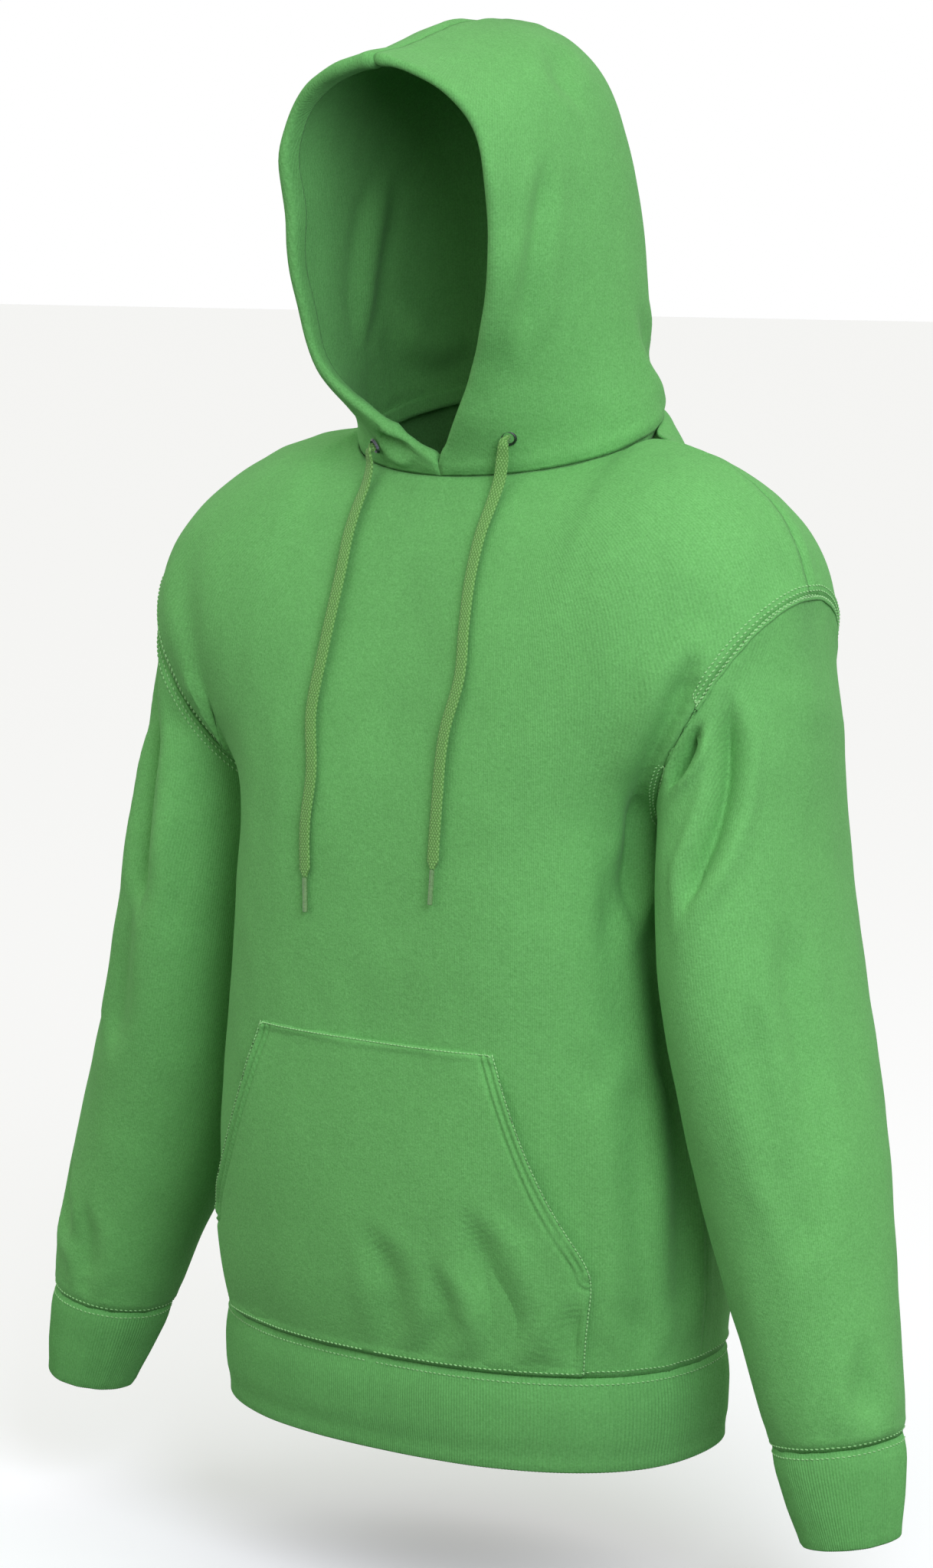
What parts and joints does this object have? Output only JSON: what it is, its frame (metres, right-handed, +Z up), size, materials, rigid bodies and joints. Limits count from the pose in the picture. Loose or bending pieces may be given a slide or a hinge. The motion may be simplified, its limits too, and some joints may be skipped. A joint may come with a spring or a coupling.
{
  "type": "pullover hoodie",
  "caption": "Pullover hooded sweatshirt in the shape it takes when worn, hollow, with a hood and drawstring, a front pouch pocket and ribbed cuffs and hem.",
  "frame": {"origin": "middle of the neck seam's ring, where the wearer's shoulders carry the garment", "axes": "+Z up, -Y to the wearer's front, +X to the wearer's left"},
  "size_m": [0.708, 0.2633, 0.9731],
  "materials": {
    "fleece_cloth": "soft brushed-back jersey, matt with a fine nap",
    "rib_cloth": "fine one-by-one rib, matt",
    "drawcord": "flat braided cord, matt",
    "eyelet_metal": "dark gunmetal, satin",
    "tip_plastic": "shrunk sleeve over the cord's end, satin"
  },
  "bodies": {
    "root": {"front_panel": "fleece_cloth", "back_panel": "fleece_cloth", "sleeve_left": "fleece_cloth", "sleeve_right": "fleece_cloth", "hood_left": "fleece_cloth", "hood_right": "fleece_cloth", "pocket": "fleece_cloth", "cuff_left": "rib_cloth", "cuff_right": "rib_cloth", "hem_rib": "rib_cloth", "drawstring_left": "drawcord", "drawstring_right": "drawcord", "drawstring_tip_left": "tip_plastic", "drawstring_tip_right": "tip_plastic", "eyelet_left": "eyelet_metal", "eyelet_right": "eyelet_metal"}
  },
  "joints": []
}
